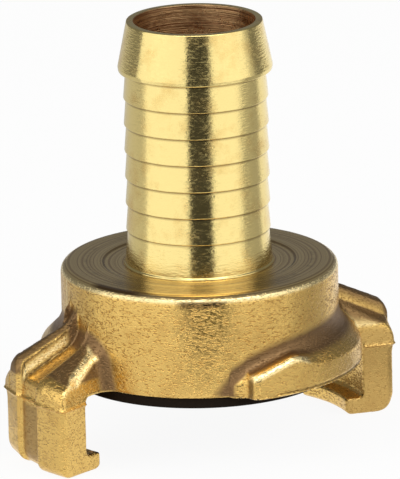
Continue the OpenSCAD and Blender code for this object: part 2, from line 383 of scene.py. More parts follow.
def round_and(a, b, k):
    """Keeps what two forms share, with its edge rounded: the mirror image of round_or."""
    u, v = np.maximum(k + a, 0.0), np.maximum(k + b, 0.0)
    return np.minimum(-k, np.maximum(a, b)) + np.hypot(u, v)


def outline_distance(points, r, z):
    """Signed distance of (r, z) points to a closed outline: the least distance to its sides, negative where
    an odd number of sides is crossed on the way outwards."""
    best = np.full(r.shape, np.inf)
    odd = np.zeros(r.shape, bool)
    following = np.roll(points, -1, axis=0)
    for (ax, ay), (bx, by) in zip(points, following):
        dx, dy = bx - ax, by - ay
        t = np.clip(((r - ax) * dx + (z - ay) * dy) / max(dx * dx + dy * dy, 1e-12), 0.0, 1.0)
        best = np.minimum(best, np.hypot(r - ax - t * dx, z - ay - t * dy))
        if dy != 0.0:
            crosses = ((ay > z) != (by > z)) & (r < ax + (z - ay) * dx / dy)
            odd ^= crosses
    return np.where(odd, -best, best)


class Section:
    """A closed outline in (r, z), with its signed distance kept on a fine table and read by interpolation."""
    R0, R1, Z0, Z1, STEP = 6.0, 33.0, -4.0, 30.0, 0.1

    def __init__(self, points):
        rs = np.arange(self.R0, self.R1 + self.STEP / 2, self.STEP)
        zs = np.arange(self.Z0, self.Z1 + self.STEP / 2, self.STEP)
        rr, zz = np.meshgrid(rs, zs, indexing="ij")
        self.table = outline_distance(np.asarray(points, float), rr, zz)

    def __call__(self, r, z):
        a = np.clip((r - self.R0) / self.STEP, 0.0, self.table.shape[0] - 1.001)
        b = np.clip((z - self.Z0) / self.STEP, 0.0, self.table.shape[1] - 1.001)
        i, j = a.astype(np.int32), b.astype(np.int32)
        a, b = a - i, b - j
        t = self.table
        return ((t[i, j] * (1 - a) + t[i + 1, j] * a) * (1 - b)
                + (t[i, j + 1] * (1 - a) + t[i + 1, j + 1] * a) * b)


def blurred(fine, turn, values, blur):
    """Values over the turn, read at finely spaced turns and softened by a row of weights."""
    padded = np.pad(np.interp(fine, turn, values), len(blur) // 2, mode="edge")
    return np.convolve(padded, blur / blur.sum(), mode="valid")


def bell_row(steps):
    """Weights of a bell curve out to three standard deviations."""
    return np.exp(-0.5 * np.linspace(-3.0, 3.0, steps) ** 2)


class ForgedHead:
    """Signed distance of the forged head in millimetres. Both halves are alike, so a point is first turned
    into the half turn round one claw, which lies along +X there. Turns are in degrees."""
    # Where the half turn starts
    FOLD = 137.0
    # Cup: rounding of its top edge, its recess and the recess's depth
    EDGE_R = 1.3
    RECESS_R = 13.6
    RECESS = HEAD_TOP_Z - SEAT_Z
    # Claws: outer radius, half their width as a turn, rise of the low top over the rim and its fall outwards
    OUT_R = 29.2
    HALF = 15.5
    LOW_RISE = 6.4
    FALL = 0.48
    # Turns of the groove down the leg, height of the parting lip, drop of the front rib's bevel
    GROOVE = (-5.6, 3.9)
    LIP_Z = 10.1
    BEVEL_TURN = 14.0
    BEVEL_DROP = 1.3
    # How much taller the rib of the claw on +X is
    TALLER = 1.2
    # Lugs: lower end, radius, edge's chamfer and its lift, height of the line round them
    LUG_LOW = 8.0
    LUG_R = 22.4
    CHAMFER = 0.36
    CHAMFER_LIFT = 42.0
    LINE_Z = RIM_Z + 0.42
    # Fillet at the claws' roots, and the reach of the painted shade where two forms meet
    ROOT = 1.9
    SHADE_REACH = 2.3

    def __init__(self):
        slot_r, tip_r, hook = 24.4, 21.7, 2.45
        self.slot = Section(np.vstack((
            [(-5.0, -3.0), (tip_r + 0.6 + 3.0, -3.0), (tip_r, 0.6)],
            arc(tip_r + 0.4, hook - 0.4, 0.4, 180, 90, 6),
            arc(slot_r - 0.8, hook + 0.8, 0.8, -90, 0, 8),
            arc(slot_r - 0.8, RIM_Z - 0.8, 0.8, 0, 90, 8),
            [(-5.0, RIM_Z)])))
        self.wall = self.skin(0.0, 2.8)
        self.full_wall = self.skin(0.0, 1.5)
        self.thin_wall = self.skin(0.6, 2.5)
        # Rise of the ribs over the low top, against the turn
        turn = np.array([-40.0, -15.5, -11.5, -10.9, -10.3, -9.2, -7.2, -5.2, -4.6, -4.0, -3.4, 3.6, 4.2, 7.0,
                         12.0, 16.0, 40.0])
        rise = np.array([-1.2, -0.85, 0.3, 0.5, 1.8, 2.1, 2.3, 1.85, 1.55, 0.15, -0.5, -0.55, 0.0, -0.05,
                         -0.5, -0.8, -0.8])
        self.turns = np.linspace(turn[0], turn[-1], 1601)
        self.rises = blurred(self.turns, turn, rise, bell_row(13))
        self.slopes = np.gradient(self.rises, np.radians(self.turns))
        self.bores = Section([
            (-5, 0), (16.4, 0), (16.4, GROOVE_Z), (17.1, GROOVE_Z), (17.1, CHAMBER_Z), (15.5, CHAMBER_Z),
            (15.5, SHOULDER_Z), (10.52, SHOULDER_Z), (10.52, 35), (-5, 35)])

    def skin(self, thin, edge):
        """Section of a claw inside its outer wall: the hook's lower edge is rounded, the wall thinned."""
        out = self.OUT_R - thin
        return Section(np.vstack((
            [(12.0, 0.0)],
            arc(0.0, 0.0, 1.0, 270, 360, 16) * (edge - thin, edge) + (self.OUT_R - edge, edge),
            [(out, 30.0), (12.0, 30.0)])))

    def claw_top(self, r, u, x):
        """Height of a claw's top and its slope: the low top falls outwards, and the tall rib, the shoulder
        behind it and the channel before it are added over the turn. The rib on +X is a little taller."""
        rise = np.interp(u, self.turns, self.rises)
        slope = np.interp(u, self.turns, self.slopes) / r
        taller = np.where(x > 0.0, self.TALLER, 1.0)
        rise = np.where(rise > 0.0, rise * taller, rise)
        return RIM_Z + self.LOW_RISE - self.FALL * (r - HEAD_R) + rise, np.hypot(self.FALL, slope)

    def bevel(self, r, x, y, z):
        """Distance above the front rib's bevel: a plane over the rib's edge, steeper at its outer end."""
        b = math.radians(self.BEVEL_TURN)
        across = y * math.cos(b) - x * math.sin(b)
        steep = 0.6 + 0.075 * (r - 20.0)
        drop = self.BEVEL_DROP - smooth(r, 25.5, 28.0)
        edge_z = RIM_Z + self.LOW_RISE - drop - self.FALL * (r - HEAD_R)
        return (steep * across + z - edge_z) / np.sqrt(1.0 + steep ** 2)

    def claw(self, r, u, x, y, z, true_x):
        """Hook, leg and ribs: the wall's section between two end faces, below the top and the bevel, less the
        groove down the leg."""
        a = math.radians(self.HALF)
        lip_z = RIM_Z - 0.3

        def end_face(side, degrees):
            lean = math.radians(degrees)
            flat = side * y * math.cos(a) - x * math.sin(a)
            return np.maximum(flat, flat * math.cos(lean) + (z - lip_z) * math.sin(lean))

        top, slope = self.claw_top(r, u, true_x)
        edge = 0.45 + 0.75 * window(z, 0.3, 2.0, 8.5, 10.5)
        wall = self.wall(r, z)
        wall += (self.full_wall(r, z) - wall) * smooth(u, -13.0, 2.0)
        body = round_and(wall, (z - top) / np.sqrt(1.0 + slope ** 2), 1.1)
        body = round_and(body, end_face(1.0, 12.0), edge)
        body = round_and(body, end_face(-1.0, 8.0), edge)
        body = round_and(body, self.bevel(r, x, y, z), 0.2)
        left, right = (math.radians(turn) for turn in self.GROOVE)
        behind = y * math.cos(right) - x * math.sin(right)
        before = x * math.sin(left) - y * math.cos(left)
        span = round_and(behind, before, 0.1)
        groove = round_and(span, -self.thin_wall(r, z), 0.45)
        body = round_and(body, -groove, 0.35)
        # The parting lip stands out a little all round
        return body - 0.28 * bell(z, self.LIP_Z, 0.22) - 0.1 * smooth(z, self.LIP_Z - 0.25, self.LIP_Z + 0.15)

    def lug_radius(self, u):
        """Outer radius of a lug over the turn, and its change for each degree: a small block at the nose,
        then a facet out to the full wall."""
        turn = np.array([-125.0, -111.2, -110.6, -109.6, -105.6, -105.0, -103.3, -101.0, -80.0, -40.0, 0.0])
        out = np.array([17.0, 19.0, 19.9, 20.5, 20.95, 21.15, 22.35, 22.65, 22.65, 23.05, 23.05])
        fine = np.linspace(-125.0, 0.0, 1251)
        out = blurred(fine, turn, out, np.ones(7))
        return np.interp(u, fine, out), np.interp(u, fine, np.gradient(out, fine))

    def ramp(self, u):
        """Heights of a lug's top over the turn, at its edge and at the head's wall."""
        turn = np.array([-125.0, -109.0, -101.0, -93.0, -87.0, -84.0, -80.0, -75.0, -60.0, -45.0, -32.0,
                         -10.0])
        edge_z = RIM_Z + np.array([1.3, 2.4, 3.6, 4.7, 5.4, 5.35, 4.65, 4.05, 3.9, 3.8, 3.6, 3.5])
        wall_z = RIM_Z + np.array([1.9, 3.1, 4.1, 5.0, 5.4, 5.5, 5.6, 5.7, 6.0, 6.4, 6.8, 7.0])
        fine = np.linspace(turn[0], turn[-1], 600)
        return [np.interp(u, fine, blurred(fine, turn, row, bell_row(19))) for row in (edge_z, wall_z)]

    def chamfer(self, r, u, z):
        """Distance above the chamfer along a lug's outer top edge."""
        lift = math.radians(self.CHAMFER_LIFT)
        out, _ = self.lug_radius(u)
        low, _ = self.ramp(u)
        return (r - out) * math.cos(lift) + (z - low) * math.sin(lift) + self.CHAMFER

    def lug(self, r, u, z):
        """Ramp lug: inside its outer wall, below a top that runs from the edge's height to the wall's."""
        low, high = self.ramp(u)
        out, narrowing = self.lug_radius(u)
        narrowing = np.degrees(narrowing) / r
        share = (self.LUG_R - r) / (self.LUG_R - HEAD_R)
        top = low + (high - low) * np.clip(share, -0.3, 1.3)
        slope = (high - low) / (self.LUG_R - HEAD_R)
        cap = (z - top) / np.sqrt(1.0 + slope ** 2 + 0.15)
        line = 0.2 * bell(z, self.LINE_Z, 0.16)
        wall = (r - out + line) / np.sqrt(1.0 + narrowing ** 2)
        body = round_and(wall, cap, 0.3)
        body = round_and(body, self.chamfer(r, u, z), 0.12)
        body = np.maximum(body, self.LUG_LOW - z)
        return round_and(body, u + 8.0, 0.3)

    def folded(self, p):
        """Radius, turn round the nearer claw, and place with that claw turned to +X, at points."""
        r = np.hypot(p[:, 0], p[:, 1])
        u = (np.degrees(np.arctan2(p[:, 1], p[:, 0])) + self.FOLD) % 180.0 - self.FOLD
        ur = np.radians(u)
        return r, u, r * np.cos(ur), r * np.sin(ur)

    def parts(self, p):
        """Distances of the cup, the claws and the lugs at points."""
        r, u, x, y = self.folded(p)
        z = p[:, 2]
        top = HEAD_TOP_Z - self.RECESS * smooth(-r, -self.RECESS_R - 0.15, -self.RECESS_R)
        cup = round_and(r - HEAD_R, z - top, self.EDGE_R)
        return cup, self.claw(r, u, x, y, z, p[:, 0]), self.lug(r, u, z)

    def painted_shade_mask(self, p):
        """Painted shade from 0 to 1: within reach of two forms at once, in the legs' grooves, on the ribs'
        tops and, less, on the end faces that look back."""
        r, u, x, y = self.folded(p)
        z = p[:, 2]
        cup, claw, lug = self.parts(p)
        on_claw = np.abs(claw) < 0.3
        near_claw = smooth(self.SHADE_REACH - np.maximum(cup, claw), 0.0, 1.2)
        near_lug = smooth(self.SHADE_REACH - np.maximum(cup, lug), 0.0, 1.2)
        near_lug *= 1.0 - smooth(r, 20.3, 20.7) * smooth(-u, 103.5, 104.5)
        groove = smooth(4.5 - np.abs(u + 0.85), 0.0, 0.8) * smooth(r, 28.0, 28.4) * smooth(9.6 - z, 0.0, 0.5)
        bevel = self.bevel(r, x, y, z)
        front = smooth(u, 4.3, 5.0)
        tops = window(u, -11.2, -10.4, -5.3, -4.7) + window(u, -15.2, -14.6, -11.2, -10.9)
        tops += front * smooth(bevel, -0.45, -0.2) * (z > RIM_Z + 1.0)
        tops += front * smooth(-bevel, 0.2, 0.4) * smooth(29.0 - r, 1.2, 1.8)
        tops += 0.5 * window(u, -3.5, -3.2, 3.8, 4.2)
        tops = np.minimum(tops, 1.0) * smooth(claw + z, RIM_Z + 2.0, RIM_Z + 2.4) * on_claw
        painted_shade = np.maximum(np.maximum(near_claw, near_lug), np.maximum(0.6 * groove, 0.92 * tops))
        painted_shade *= np.clip(smooth(z, RIM_Z, RIM_Z + 0.4) + groove, 0.0, 1.0)
        return np.maximum(painted_shade, 0.42 * smooth(-u, 14.8, 15.3) * on_claw)

    def wear_and_highlight_mask(self, p):
        """Paler brass from 0 to 1, partly rubbed edges and partly painted highlight: along the bevels, the
        lugs' chamfers, the head's top edge, both flanks of the channels and the claws' back edges."""
        r, u, x, y = self.folded(p)
        z = p[:, 2]
        claw = self.parts(p)[1]
        above = smooth(z, 11.5, 12.5)
        wear_and_highlight = bell(self.bevel(r, x, y, z), 0.0, 0.12) * (np.abs(u) < 16.0) * smooth(r, 20.6, 21.2)
        on_lug = window(u, -105.0, -102.0, -82.0, -78.0) * smooth(r, 21.2, 21.6)
        wear_and_highlight += bell(self.chamfer(r, u, z), 0.0, 0.14) * on_lug
        away = np.hypot(r - HEAD_R + self.EDGE_R, z - HEAD_TOP_Z + self.EDGE_R)
        outer = smooth(r, HEAD_R - 1.15, HEAD_R - 0.8) * smooth(z, HEAD_TOP_Z - 1.1, HEAD_TOP_Z - 0.8)
        wear_and_highlight += bell(away, self.EDGE_R, 0.15) * outer
        wear_and_highlight += bell(u, -4.0, 0.2) * smooth(r, 21.2, 22.0) * above
        wear_and_highlight += 0.7 * bell(u, 4.3, 0.3) * smooth(r, 21.0, 22.0) * above
        wear_and_highlight += bell(u, -15.2, 0.45) * smooth(z, 12.8, 13.4) * smooth(claw + z, 12.6, 13.2)
        return np.clip(wear_and_highlight, 0.0, 1.0)

    def dark_shade_mask(self, p):
        """Painted dark shade from 0 to 1: along the creases of the tall ribs' flanks, in the line round the
        lugs, on the facets of their noses, and in rings and a patch on the top face, the patch on the
        camera's side."""
        r, u, _, _ = self.folded(p)
        z = p[:, 2]
        out = self.lug_radius(u)[0]
        low = self.ramp(u)[0]
        creases = np.clip(bell(u, -4.5, 0.24) + bell(u, -3.4, 0.3), 0.0, 1.0)
        painted_dark_shade = creases * smooth(z, 11.5, 12.5) * smooth(r, 20.8, 21.6)
        line = bell(z, self.LINE_Z, 0.16) * smooth(r, out - 0.5, out - 0.35)
        painted_dark_shade += 0.8 * line * window(u, -100.0, -88.0, -30.0, -20.0)
        painted_dark_shade += 0.75 * window(u, -104.9, -104.5, -103.7, -103.2) * smooth(r, 21.0, 21.2) * (z < low - 0.3)
        # A patch of painted shade on the top face, on the camera's side
        aside = (np.degrees(np.arctan2(p[:, 1], p[:, 0])) - CAMERA_TURN + 180.0) % 360.0 - 180.0
        top = 0.5 * bell(r, 13.68, 0.14) + 0.35 * bell(r, 16.2, 0.1)
        top += 0.42 * smooth(60.0 - np.abs(aside), 0.0, 30.0) * window(r, 11.0, 12.0, 17.5, 18.5)
        return np.minimum(painted_dark_shade + top * smooth(z, SEAT_Z - 0.2, SEAT_Z), 1.0)

    def __call__(self, p):
        r, z = np.hypot(p[:, 0], p[:, 1]), p[:, 2]
        cup, claw, lug = self.parts(p)
        body = round_or(cup, claw, self.ROOT)
        body = round_or(body, lug, 1.0)
        # The turned cut makes the rim flat and opens the slots
        body = round_and(body, -self.slot(r, z), 0.3)
        return np.maximum(body, -self.bores(r, z))


def lattice_noise(p, size, seed):
    """Smooth noise from -1 to 1: random values on a lattice of the given cell size, blended in between."""
    table = np.random.default_rng(seed).uniform(-1.0, 1.0, (32, 32, 32))
    q = p / size
    base = np.floor(q).astype(np.int64)
    f = q - base
    f = f * f * (3.0 - 2.0 * f)
    out = np.zeros(len(p))
    for corner in range(8):
        o = np.array([corner & 1, corner >> 1 & 1, corner >> 2 & 1])
        w = np.prod(np.where(o, f, 1.0 - f), axis=1)
        i = (base + o) % 32
        out += w * table[i[:, 0], i[:, 1], i[:, 2]]
    return out


def forged_lumps(p, depth):
    """Outward shift of the forged skin in millimetres: three sizes of noise, faded out on turned faces."""
    r = np.hypot(p[:, 0], p[:, 1])
    skin = 1.0 - smooth(p[:, 2], HEAD_TOP_Z - 0.5, HEAD_TOP_Z - 0.2)
    skin *= smooth(r, HEAD_R - 1.2, HEAD_R - 0.4)
    skin *= np.maximum(smooth(p[:, 2], RIM_Z + 0.05, RIM_Z + 0.3), smooth(r, 23.4, 24.4))
    lumps = 0.6 * lattice_noise(p, 2.6, 3) + 0.45 * lattice_noise(p, 1.1, 5) + 0.3 * lattice_noise(p, 0.6, 8)
    return depth * skin * lumps


def gradient(field, p, step=0.02):
    """Central differences of a field, one axis at a time."""
    g = np.empty_like(p)
    for axis in range(3):
        shift = np.zeros(3)
        shift[axis] = step
        g[:, axis] = (field(p + shift) - field(p - shift)) / (2.0 * step)
    return g


def surface_net(field, low, high, h):
    """Closed mesh where a field is zero. Each grid cell with corners on both sides gets one vertex, at the
    mean of the crossings on its edges, and each grid edge that is crossed gets the quad of its four cells."""
    ratio = 4

    def finer(a):
        """Each coarse value repeated for the fine points up to the next one."""
        for axis in range(3):
            a = np.repeat(a, ratio, axis)
        return a[:n[0], :n[1], :n[2]]

    n = (np.ceil((high - low) / (h * ratio)).astype(int)) * ratio + 1
    axes = [low[k] + h * np.arange(n[k]) for k in range(3)]
    coarse = [a[::ratio] for a in axes]
    cp = np.stack(np.meshgrid(*coarse, indexing="ij"), axis=-1).reshape(-1, 3)
    cd = field(cp).reshape([len(a) for a in coarse])
    d = finer(cd).astype(np.float32)
    # Only the points near the surface are worked out in full
    near = np.abs(cd) < h * ratio * 2.4
    for axis in range(3):
        near = near | np.roll(near, -1, axis) | np.roll(near, 1, axis)
    where = np.argwhere(finer(near))
    batch = 400000
    for start in range(0, len(where), batch):
        w = where[start:start + batch]
        d[w[:, 0], w[:, 1], w[:, 2]] = field(low + h * w)
    inside = d < 0.0
    count = np.zeros([k - 1 for k in n], np.int8)
    for corner in range(8):
        a, b, c = corner & 1, corner >> 1 & 1, corner >> 2 & 1
        count += inside[a:n[0] - 1 + a, b:n[1] - 1 + b, c:n[2] - 1 + c]
    active = (count > 0) & (count < 8)
    cells = np.argwhere(active)
    index = np.full(active.shape, -1, np.int64)
    index[active] = np.arange(len(cells))
    total = np.zeros((len(cells), 3))
    hits = np.zeros(len(cells))
    for axis in range(3):
        others = [k for k in range(3) if k != axis]
        for step in range(4):
            o = np.zeros(3, int)
            o[others[0]], o[others[1]] = step & 1, step >> 1 & 1
            e = o.copy()
            e[axis] = 1
            ca, cb = cells + o, cells + e
            da = d[ca[:, 0], ca[:, 1], ca[:, 2]]
            db = d[cb[:, 0], cb[:, 1], cb[:, 2]]
            crossed = (da < 0) != (db < 0)
            t = np.where(crossed, da / np.where(crossed, da - db, 1.0), 0.0)
            total += crossed[:, None] * (o + t[:, None] * (e - o))
            hits += crossed
    verts = low + h * (cells + total / hits[:, None])
    quads = []
    for axis in range(3):
        first = np.moveaxis(inside, axis, 0)
        change = first[:-1] != first[1:]
        i, j, k = np.argwhere(change).T
        kept = (j > 0) & (k > 0) & (j < first.shape[1] - 1) & (k < first.shape[2] - 1)
        i, j, k = i[kept], j[kept], k[kept]
        cell = np.moveaxis(index, axis, 0)
        quad = np.column_stack((cell[i, j - 1, k - 1], cell[i, j, k - 1], cell[i, j, k], cell[i, j - 1, k]))
        outward = first[i, j, k]
        flip = outward if axis != 1 else ~outward
        quads.append(np.where(flip[:, None], quad, quad[:, ::-1]))
    return verts, np.vstack(quads)


class HeadSettings(bpy.types.PropertyGroup):
    cell: bpy.props.FloatProperty(name="Cell", description="Grid cell of the surface, mm", default=0.25)
    lump_depth: bpy.props.FloatProperty(name="Lumps", description="Depth of the lumps, mm", default=0.03)
    triangles: bpy.props.IntProperty(name="Triangles", description="Most triangles", default=190000)
    color: bpy.props.FloatVectorProperty(
        name="Forged brass", description="Colour of the forged brass", subtype="COLOR",
        default=(0.81, 0.535, 0.16))


# Colours of the head's painted shade, its rubbed and highlighted edges, its turned rings and its painted dark
# shade
PAINTED_SHADE_BROWN = (0.22, 0.13, 0.058, 1.0)
RUBBED_HIGHLIGHT_BRASS = (0.95, 0.76, 0.38, 1.0)
PAINTED_DARK_SHADE = (0.10, 0.055, 0.02, 1.0)
RING_DARK = (0.56, 0.38, 0.17, 1.0)
RING_LIGHT = (0.90, 0.69, 0.33, 1.0)
PAINTED_RIM_SHADE = (0.20, 0.115, 0.045, 1.0)


def forged_brass(color):
    """Forged brass: a satin skin with short dents, darkened by painted shade, that run mostly round the head,
    duller and browner with painted shade in the fillets round claws and lugs, paler on rubbed and highlighted
    edges, and a turned top face with rings."""
    paint = new_paint("forged_brass")
    place = paint.place()
    axes = paint.node("ShaderNodeSeparateXYZ", {"Vector": place}).outputs
    z, radius = axes["Z"], paint.radius(place)
    angle = paint.math("ARCTAN2", axes["Y"], axes["X"])
    turned = paint.span(z, 0.02537, 0.02557)
    # Dents: noise on the length round the head, the radius and the height, squeezed and a little sheared
    sheared = paint.plus(z, 0.5, paint.product(angle, HEAD_R * MM))
    unrolled = paint.node("ShaderNodeCombineXYZ", {"X": sheared, "Y": radius, "Z": z}).outputs[0]
    dent = paint.span(paint.noise(unrolled, (1900.0, 2800.0, 4600.0), 2.0, Distortion=0.7), 0.31, 0.47)
    grain = paint.noise(place, 2600.0, 4.0, Roughness=0.6)
    rings = paint.node("ShaderNodeTexNoise", {"W": radius, "Scale": 2600.0, "Detail": 4.0},
                       noise_dimensions="1D").outputs[0]
    height = paint.node("ShaderNodeMix", {"Factor": turned, "A": paint.plus(grain, 0.5, dent),
                                          "B": rings}).outputs[0]
    painted_shade, wear_and_highlight, painted_dark_shade = paint.mark("painted_shade"), paint.mark("wear_and_highlight"), paint.mark("painted_dark_shade")
    # Painted shade in the dents: they are darker, but less so on the claws, on rubbed and highlighted edges
    # and under the brown painted shade
    unshaded = paint.most(dent, wear_and_highlight, painted_shade, paint.span(radius, 0.021, 0.024, 0.0, 0.55))
    skin = paint.blend(shade(color, 0.62, 0.52, 0.42), shade(color), unshaded)
    stain = paint.noise(place, 330.0, 5.0, Roughness=0.6)
    skin = paint.blend(skin, shade(color, 0.74, 0.66, 0.6), paint.span(stain, 0.48, 0.75, 0.0, 0.6))
    # Brown painted shade in the fillets, the legs' grooves, on the ribs' tops and on the end faces that look
    # back
    skin = paint.blend(skin, PAINTED_SHADE_BROWN, painted_shade)
    # Paler brass on rubbed edges, with painted highlights along the bevels, chamfers, top edge, channel
    # flanks and back edges
    skin = paint.blend(skin, RUBBED_HIGHLIGHT_BRASS, wear_and_highlight)
    skin = paint.blend(skin, paint.blend(RING_DARK, RING_LIGHT, paint.span(rings, 0.38, 0.55)), turned)
    # Painted dark shade in the creases, the line round the lugs, the top face's rings and its patch on the
    # camera's side
    skin = paint.blend(skin, PAINTED_DARK_SHADE, painted_dark_shade)
    # Painted shade: a brown band on the wall, close under the top face's edge, on the camera's side
    wall = paint.product(paint.window(angle, -2.33, -2.26, -2.00, -1.93),
                         paint.span(paint.plus(stain, 0.0024, z), 0.0251, 0.0256),
                         paint.span(z, 0.0250, 0.0253, 1.0, 0.0), 0.8)
    # Darker painted shade along the top face's edge, to the camera's left
    edge = paint.product(paint.window(angle, -3.08, -2.98, -2.66, -2.50), paint.span(radius, 0.0181, 0.0185),
                         paint.span(z, 0.0255, 0.0256))
    skin = paint.blend(skin, PAINTED_RIM_SHADE, paint.most(wall, edge))
    rough = paint.plus(painted_shade, 0.18, paint.span(turned, 0.0, 1.0, 0.24, 0.20))
    return paint.skin(skin, rough, height, 0.55, 0.00012, {"Metallic": 1.0})


class CONNECTOR_OT_head(bpy.types.Operator):
    """Forms the forged head with its claws and lugs"""
    bl_idname = "connector.head"
    bl_label = "Claw head"

    def execute(self, context):
        s = context.scene.connector_head
        form = ForgedHead()

        def field(p):
            return form(p) - forged_lumps(p, s.lump_depth)

        low = np.array([-31.0, -25.0, -1.0])
        high = np.array([31.0, 25.0, 27.0])
        verts, quads = surface_net(field, low, high, s.cell)
        for _ in range(3):
            g = gradient(field, verts)
            size = np.maximum((g * g).sum(1), 0.05)
            step = (field(verts) / size)[:, None] * g
            length = np.linalg.norm(step, axis=1, keepdims=True)
            verts = verts - step * np.minimum(1.0, 0.4 * s.cell / np.maximum(length, 1e-9))
        verts[:, 2] = np.maximum(verts[:, 2], 0.0)
        piece = put_mesh("forged_head", verts, quads, 60.0)
        ratio = min(1.0, s.triangles / (2.0 * len(quads)))
        if ratio < 1.0:
            thin = piece.modifiers.new("thin", "DECIMATE")
            thin.ratio = ratio
            with context.temp_override(object=piece, active_object=piece):
                bpy.ops.object.modifier_apply(modifier="thin")
        flat = np.empty(3 * len(piece.data.vertices))
        piece.data.vertices.foreach_get("co", flat)
        points = flat.reshape(-1, 3) / MM
        wear_and_highlight = form.wear_and_highlight_mask(points)
        # Marks for the colour: painted shade, rubbed edges with painted highlights, and painted dark shade
        marks = {"painted_shade": form.painted_shade_mask(points) * (1.0 - wear_and_highlight), "wear_and_highlight": wear_and_highlight, "painted_dark_shade": form.dark_shade_mask(points)}
        for key, values in marks.items():
            layer = piece.data.attributes.new(key, "FLOAT", "POINT")
            layer.data.foreach_set("value", values.astype(np.float32))
        finish_piece(piece, "claw_head", forged_brass(tuple(s.color)))
        return {"FINISHED"}


# Seal

def seal_outline():
    """Closed outline of the moulded ring, with small rounded corners."""
    bore, face, waist, bulb, low, top = 12.0, 19.3, 16.3, 17.0, 9.4, 15.6
    points = np.array([
        (bore, low), (face, low), (face, RIM_Z - 0.02), (waist, RIM_Z - 0.02),
        (waist, GROOVE_Z + 0.1), (bulb, GROOVE_Z + 0.1), (bulb, top), (bore, top)])
    return with_supports(rounded(points, [0.5, 0.45, 0.1, 0.1, 0.1, 0.2, 0.5, 0.5], 6), 0.08, 3.0)


def black_rubber(color):
    """Matt black rubber with a faint mould grain."""
    paint = new_paint("black_rubber")
    place = paint.place()
    grain = paint.noise(place, 1400.0, 4.0)
    bloom = paint.noise(place, 120.0, 5.0)
    skin = paint.blend(shade(color), shade(color, 1.8, 1.8, 1.8), bloom)
    rough = paint.span(bloom, 0.0, 1.0, 0.6, 0.85)
    return paint.skin(skin, rough, grain, 0.3, 0.00004, {"Specular IOR Level": 0.08})


class SealSettings(bpy.types.PropertyGroup):
    color: bpy.props.FloatVectorProperty(
        name="Rubber", description="Colour of the rubber", subtype="COLOR", default=(0.007, 0.004, 0.002))


class CONNECTOR_OT_seal(bpy.types.Operator):
    """Turns the rubber seal"""
    bl_idname = "connector.seal"
    bl_label = "Rubber seal"

    def execute(self, context):
        s = context.scene.connector_seal
        verts, faces = lathe(seal_outline(), 192)
        piece = put_mesh("rubber_seal", verts, faces, 50.0)
        finish_piece(piece, "seal", black_rubber(tuple(s.color)))
        return {"FINISHED"}


# Stage

class StageSettings(bpy.types.PropertyGroup):
    floor_color: bpy.props.FloatVectorProperty(
        name="Floor", description="Colour of the floor", subtype="COLOR", default=(0.93, 0.93, 0.93))
    lamp_power: bpy.props.FloatProperty(
        name="Lamps", description="Power of each large lamp", unit="POWER", default=3.0)


# Floor: its radius, its sides, and the share of white in it where it is seen plainly
FLOOR_R = 3000.0
FLOOR_SIDES = 96
GLOW_SHARE = 0.92

# Strips of a card along its turn and its lift
CARD_ACROSS = 24
CARD_UP = 12


def direction(turn, lift):
    """Unit vector at a turn to the right of the camera and a lift above the floor, both in degrees."""
    a, e = math.radians(CAMERA_TURN + turn), math.radians(lift)
    return Vector((math.cos(a) * math.cos(e), math.sin(a) * math.cos(e), math.sin(e)))


def place_camera():
    """Camera of the photo: a long lens at 15.8 degrees above the floor, 0.96 m away, rolled by one degree."""
    lift, distance, roll = math.radians(15.795), 957.5, math.radians(-1.2)
    back = direction(0.0, math.degrees(lift))
    right = Vector((-math.sin(math.radians(CAMERA_TURN)), math.cos(math.radians(CAMERA_TURN)), 0.0))
    up = back.cross(right)
    turned_right = math.cos(roll) * right + math.sin(roll) * up
    turned_up = math.cos(roll) * up - math.sin(roll) * right
    data = bpy.data.cameras.new("photo_camera")
    data.sensor_fit = "HORIZONTAL"
    data.sensor_width = 36.0
    # Focal length in pixels of a picture 400 wide, as fitted to the photo
    data.lens = 6719.3 * data.sensor_width / 400.0
    data.clip_start = 0.05
    data.clip_end = 20.0
    data.shift_x = 0.003
    data.shift_y = 0.001
    camera = bpy.data.objects.new("photo_camera", data)
    bpy.context.scene.collection.objects.link(camera)
    axes = Matrix((turned_right, turned_up, back)).transposed().to_4x4()
    axes.translation = back * distance * MM + Vector((0.0, 0.0, 28.65 * MM))
    camera.matrix_world = axes
    bpy.context.scene.camera = camera


def seen_plainly(paint):
    """1 for what the camera sees straight, mirrored or through glass, and 0 for light on other things."""
    path = paint.node("ShaderNodeLightPath").outputs
    return paint.most(path["Is Camera Ray"], path["Is Glossy Ray"], path["Is Transmission Ray"])


def lay_floor(color):
    """Floor: a wide disc, white to the camera and in the metal, with the part's soft shadow."""
    k = np.arange(FLOOR_SIDES)
    a = k * 2.0 * np.pi / FLOOR_SIDES
    rim = FLOOR_R * np.column_stack((np.cos(a), np.sin(a), 0 * a))
    faces = np.column_stack((0 * k, 1 + k, 1 + (k + 1) % FLOOR_SIDES))
    floor = put_mesh("floor", np.vstack(([(0.0, 0.0, 0.0)], rim)), faces, 180.0)
    paint = new_paint("floor_pale")
    matt = paint.node("ShaderNodeBsdfPrincipled", {"Base Color": color, "Roughness": 0.9,
                                                   "Specular IOR Level": 0.0}).outputs[0]
    glow = paint.node("ShaderNodeEmission", {"Color": (1.0, 1.0, 1.0, 1.0), "Strength": 1.0}).outputs[0]
    share = paint.product(seen_plainly(paint), GLOW_SHARE)
    floor.data.materials.append(paint.show(paint.node("ShaderNodeMixShader", {0: share, 1: matt, 2: glow})))


def light_world():
    """World: white where it is seen plainly, and dimmer as a light."""
    world = bpy.data.worlds.new("studio")
    bpy.context.scene.world = world
    paint = Paint(world, "ShaderNodeOutputWorld")
    tone = paint.span(seen_plainly(paint), 0.0, 1.0, 0.7, 1.0)
    paint.show(paint.node("ShaderNodeBackground", {"Strength": tone}))


